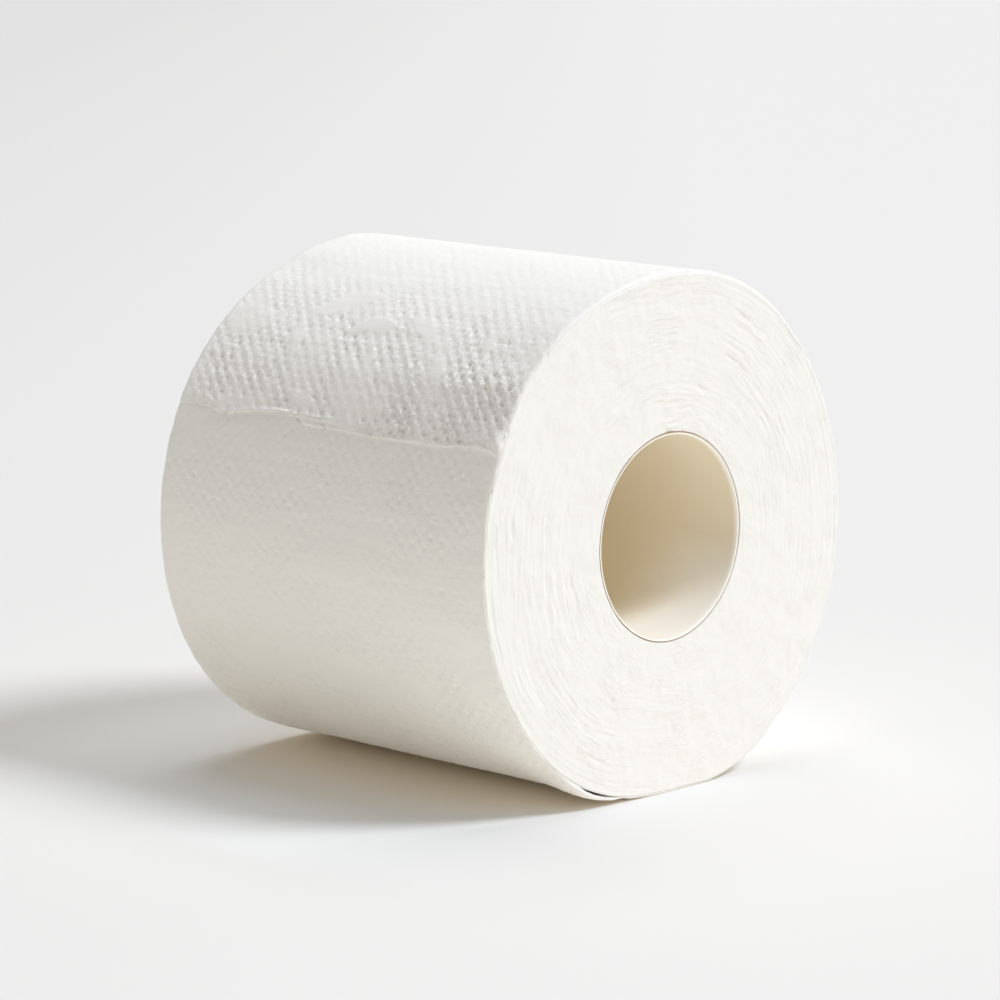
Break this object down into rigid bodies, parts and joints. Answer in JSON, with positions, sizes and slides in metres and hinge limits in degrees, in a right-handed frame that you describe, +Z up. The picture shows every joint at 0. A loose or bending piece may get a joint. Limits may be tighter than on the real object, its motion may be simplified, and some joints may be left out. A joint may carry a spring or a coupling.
{
  "type": "toilet paper roll",
  "caption": "Roll of white embossed bathroom tissue wound on a cardboard core, lying on its side, with its outer end laid down near the upper side and its outermost turn a little loose.",
  "frame": {"origin": "middle of the small flat that the roll rests on, at the bottom of its box", "axes": "+Z up, Y along the roll's axis with the front end face towards -Y, X across the roll with the tail of the web on the -X side"},
  "size_m": [0.1115, 0.096, 0.1103],
  "materials": {
    "core_board": "matt",
    "tissue": "matt, embossed with small dots"
  },
  "bodies": {
    "root": {"core_tube": "core_board", "tissue_winding": "tissue"}
  },
  "joints": []
}
